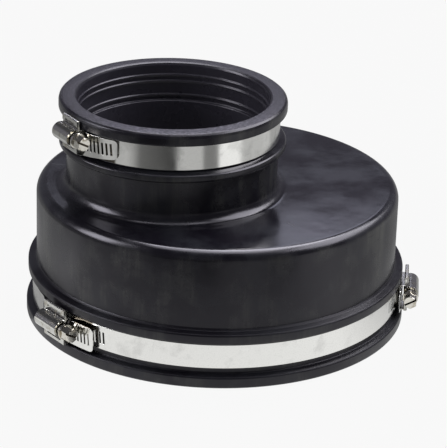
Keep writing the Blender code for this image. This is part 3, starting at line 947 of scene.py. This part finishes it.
def cut_driver_slot(screw, station, end):
    """Cuts the slot and marks the faces in it, which the material paints dark as shade in the slot.
    """
    corners = []
    for s in (end - DRIVER_DEPTH, end + 1.0):
        for across in (-HEX_FLATS, HEX_FLATS):
            for wide in (-DRIVER_WIDTH / 2, DRIVER_WIDTH / 2):
                corners.append(driver_point(station, s, across, wide))
    sides = [(0, 1, 3, 2), (4, 6, 7, 5), (0, 4, 5, 1), (2, 3, 7, 6), (0, 2, 6, 4), (1, 5, 7, 3)]
    cutter = add_piece(screw.name + "_slot", corners, sides, SCREW_STEEL, 30)
    cut = screw.modifiers.new("slot", "BOOLEAN")
    cut.operation = "DIFFERENCE"
    cut.solver = "EXACT"
    cut.object = cutter
    apply_modifiers(screw)
    bpy.data.objects.remove(cutter)
    screw.data.set_sharp_from_angle(angle=math.radians(28))
    middle = driver_point(station, end, 0.0, 0.0)
    side = driver_point(station, end, 0.0, 1.0) - middle
    slot_shade = screw.data.attributes.new("slot_shade", "FLOAT", "FACE")
    for face, mark in zip(screw.data.polygons, slot_shade.data):
        away = face.center / MM - middle
        deep = DRIVER_NEAR < -away.dot(station.along) < DRIVER_DEPTH + DRIVER_NEAR
        mark.value = float(deep and abs(away.dot(side)) < DRIVER_WIDTH / 2 + DRIVER_NEAR)


def make_small_clamp():
    """One band all the way round, from under its housing to its tail."""
    length = 2 * math.pi * SMALL_CHANNEL_R

    def path(d):
        if d > -length / 2:
            return SMALL.band(d)
        out = unit(SMALL.angle + d / SMALL_CHANNEL_R)
        radius = SMALL_CHANNEL_R + fixed_lift(d + length, SMALL.half)
        return Vector((-OFFSET, 0.0, SMALL.z)) + out * radius, out

    def narrowing(d):
        return TAIL_NARROWS * max(0.0, (d - SMALL.half) / (SMALL.tail - SMALL.half))

    start = -length - BAND_END
    slots = slot_marks(-SLOTS_BACK, SMALL.tail - LAST_SLOT)
    shape = (start, SMALL.tail, slots, -SLOT_SLANT, (False, True))
    band = make_band("small_strip", path, *shape, SMALL_STRIP, narrowing)
    place(band, "small_clamp", "small_band")
    make_housing_set("small", SMALL, "small_clamp", "small_worm")


def make_housing_set(name, station, clamp, worm):
    cap = make_housing(name + "_cap", station)
    place(cap, clamp, name + "_housing")
    plate = make_saddle(name + "_plate", station)
    place(plate, clamp, name + "_saddle")
    screw = make_screw(name + "_worm_screw", station)
    place(screw, worm, name + "_screw")


def make_large_clamp():
    """Two bands: the front one fixed at both ends, the rear one with a tail at each end."""
    front = (RIGHT.angle - LEFT.angle) % (2 * math.pi) * LARGE_CHANNEL_R
    rear = 2 * math.pi * LARGE_CHANNEL_R - front
    front_low, front_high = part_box("large_front_band")
    front_z = (front_low.z + front_high.z) / 2 / MM

    def front_path(d):
        out = unit(LEFT.angle + d / LARGE_CHANNEL_R)
        radius = LARGE_CHANNEL_R + fixed_lift(min(d, front - d), LEFT.half)
        return Vector((0.0, 0.0, front_z)) + out * radius, out

    def rear_path(d):
        return LEFT.band(-d) if d < rear / 2 else RIGHT.band(d - rear)

    slots = slot_marks(*LEFT_FRONT_SLOTS) + mirrored(slot_marks(*RIGHT_FRONT_SLOTS), front)
    shape = (-BAND_END, front + BAND_END, slots, -SLOT_SLANT, (False, False))
    band = make_band("large_front_strip", front_path, *shape, LARGE_STRIP)
    place(band, "large_clamp", "large_front_band")
    slots = mirrored(slot_marks(-SLOTS_BACK, LEFT.tail - LAST_SLOT), 0.0)
    right = slot_marks(-SLOTS_BACK, RIGHT.tail - LAST_SLOT)
    slots += [(rear + a, rear + b) for a, b in right]
    shape = (-LEFT.tail, rear + RIGHT.tail, slots, SLOT_SLANT, (True, True))
    band = make_band("large_rear_strip", rear_path, *shape, LARGE_STRIP)
    place(band, "large_clamp", "large_rear_band")
    make_housing_set("large_left", LEFT, "large_clamp", "large_left_worm")
    make_housing_set("large_right", RIGHT, "large_clamp", "large_right_worm")


# --- studio ----------------------------------------------------------------------------------

TOWARDS_CAMERA = -90.0 - CAMERA_TURN  # angle in the frame of the direction to the camera
PLAIN = 0.93  # the floor's own brightness, as the camera sees it
SKY = 0.94  # the same for the world
FLOOR_REACH = 6000.0
FLOOR_Z = -0.3
# What the reflections see of the floor: painted glow standing in for the lamps' light and its
# falloff, in rings by radius in metres, each with brightnesses by the angle from the camera's
# direction.
BY_THE_BAND = ((-110, 0.35), (-75, 0.75), (-40, 0.9), (0, 0.9), (60, 0.95), (100, 0.5), (130, 0.35))
BY_THE_WALL = (
    (-150, 0.3), (-104, 0.6), (-98, 0.75), (-76, 1.4), (-55, 0.9), (-40, 0.75), (30, 0.75),
)
BY_THE_WALL += ((65, 1.1), (80, 0.7), (110, 0.33), (180, 0.3))
ROOM = ((-110, 0.3), (-64, 0.28), (-58, 0.45), (-44, 0.5), (-38, 0.38), (-30, 0.13), (4, 0.04))
ROOM += ((8, 0.52), (30, 0.52), (33, 0.2), (46, 0.2), (49, 1.0), (70, 1.0), (76, 0.55))
ROOM += ((104, 0.55), (108, 0.6), (116, 0.6), (122, 0.4), (140, 0.4), (200, 0.3))
LIGHTS_AIM_Z = 0.06
WALL_RING = (0.165, 0.19)
ROOM_RING = (0.26, 0.29)
WORLD_BY_HEIGHT = ((0.42, (0.155, 0.15, 0.175)), (0.56, (0.05, 0.05, 0.055)))


def brightness_ramp(look, turn, zones):
    """Brightness by the angle from the camera's direction, where turn is 0 to 1 round the axis."""
    ramp = look.add("ShaderNodeValToRGB")
    stops = ramp.color_ramp.elements
    start = -180.0 - TOWARDS_CAMERA
    made = sorted((((angle - start) / 360) % 1.0, value) for angle, value in zones)
    for i, (where, value) in enumerate(made):
        stop = stops[i] if i < 2 else stops.new(where)
        stop.position = where
        stop.color = (value, value, value, 1.0)
    look.link(turn, ramp.inputs[0])
    return ramp.outputs["Color"]


def floor_material():
    """A white sheet to the camera. Other rays see it glow with painted light, in rings by distance
    and angle, standing in for the lamps and a dimmer room.
    """
    look = Shading("floor")
    angle = look.split(look.round_axis(-OFFSET * MM))["X"]
    turn = look.math("MULTIPLY_ADD", angle, 1 / (2 * math.pi), 0.5)
    distance = look.length(look.place)
    # Painted light: the floor's glow seen in reflections, set by ring and angle.
    room = brightness_ramp(look, turn, BY_THE_BAND)
    for zones, ring in ((BY_THE_WALL, WALL_RING), (ROOM, ROOM_RING)):
        room = look.mix(look.ramp(distance, *ring), room, brightness_ramp(look, turn, zones))
    path = look.add("ShaderNodeLightPath")
    seen = look.mix(path.outputs["Is Camera Ray"], room, (PLAIN, PLAIN, PLAIN))
    look.link(seen, look.shader.inputs["Emission Color"])
    look.shader.inputs["Emission Strength"].default_value = 1.0
    look.shader.inputs["Base Color"].default_value = (0.004, 0.004, 0.004, 1.0)
    look.shader.inputs["Roughness"].default_value = 0.9
    look.shader.inputs["Specular IOR Level"].default_value = 0.0
    return look.material


def make_floor():
    corners = [(-1, -1), (1, -1), (1, 1), (-1, 1)]
    points = [(x * FLOOR_REACH, y * FLOOR_REACH, FLOOR_Z) for x, y in corners]
    floor = add_mesh("floor", points, [(0, 1, 2, 3)], floor_material())


def add_softbox(name, azimuth, elevation, distance, wide, high, radiance, colour):
    """A soft area light facing the object. Azimuth is from the camera's side, positive right."""
    data = bpy.data.lights.new(name, "AREA")
    data.shape = "RECTANGLE"
    data.size = wide
    data.size_y = high
    data.energy = radiance * 4 * wide * high
    data.color = colour
    lamp = bpy.data.objects.new(name, data)
    angle = math.radians(TOWARDS_CAMERA + azimuth)
    up = math.radians(elevation)
    way = Vector((math.cos(angle) * math.cos(up), math.sin(angle) * math.cos(up), math.sin(up)))
    lamp.location = way * distance + Vector((0.0, 0.0, LIGHTS_AIM_Z))
    lamp.rotation_euler = way.to_track_quat("Z", "Y").to_euler()
    lamp.visible_camera = False
    bpy.context.scene.collection.objects.link(lamp)


def add_lights():
    add_softbox("back_softbox", 177.0, 38.5, 1.6, 0.66, 0.66, 1.6, BLUISH)
    add_softbox("overhead_softbox", 170.0, 68.0, 1.5, 1.1, 0.62, 10.0, PALE)
    add_softbox("overhead_fill", 170.0, 91.0, 1.5, 1.1, 0.6, 4.5, PALE)
    add_softbox("right_softbox", 105.0, 47.0, 1.5, 1.5, 0.85, 6.0, PALE)
    add_softbox("left_softbox", -79.0, 27.0, 1.5, 0.62, 0.85, 8.0, PALE)


def make_world():
    """A dim room, lighter low down. The camera itself sees plain white."""
    world = bpy.data.worlds.new("studio")
    bpy.context.scene.world = world
    world.use_nodes = True
    nodes = world.node_tree.nodes
    links = world.node_tree.links
    split = nodes.new("ShaderNodeSeparateXYZ")
    links.new(nodes.new("ShaderNodeTexCoord").outputs["Generated"], split.inputs[0])
    ramp = nodes.new("ShaderNodeValToRGB")
    for stop, (height, colour) in zip(ramp.color_ramp.elements, WORLD_BY_HEIGHT):
        stop.position = height
        stop.color = (*colour, 1.0)
    links.new(split.outputs["Z"], ramp.inputs[0])
    path = nodes.new("ShaderNodeLightPath")
    mix = nodes.new("ShaderNodeMix")
    mix.data_type = "RGBA"
    links.new(path.outputs["Is Camera Ray"], mix.inputs["Factor"])
    links.new(ramp.outputs["Color"], mix.inputs[6])
    mix.inputs[7].default_value = (SKY, SKY, SKY, 1.0)
    links.new(mix.outputs[2], nodes["Background"].inputs["Color"])


def make_camera():
    data = bpy.data.cameras.new("camera")
    data.lens = CAMERA_LENS
    data.sensor_width = 36.0
    data.sensor_fit = "AUTO"
    data.clip_start = 0.05
    camera = bpy.data.objects.new("camera", data)
    turn = math.radians(CAMERA_TURN)
    at = Matrix.Translation(
        (-CAMERA_BACK * math.sin(turn), -CAMERA_BACK * math.cos(turn), CAMERA_UP)
    )
    facing = Matrix.Rotation(-math.radians(CAMERA_TURN + CAMERA_YAW), 4, "Z")
    facing = facing @ Matrix.Rotation(math.radians(90 - CAMERA_PITCH), 4, "X")
    camera.matrix_world = at @ facing @ Matrix.Rotation(math.radians(CAMERA_ROLL), 4, "Z")
    bpy.context.scene.collection.objects.link(camera)
    bpy.context.scene.camera = camera


make_sleeve()
make_small_clamp()
make_large_clamp()
make_floor()
make_world()
make_camera()
add_lights()
bpy.context.scene.view_settings.view_transform = "Standard"
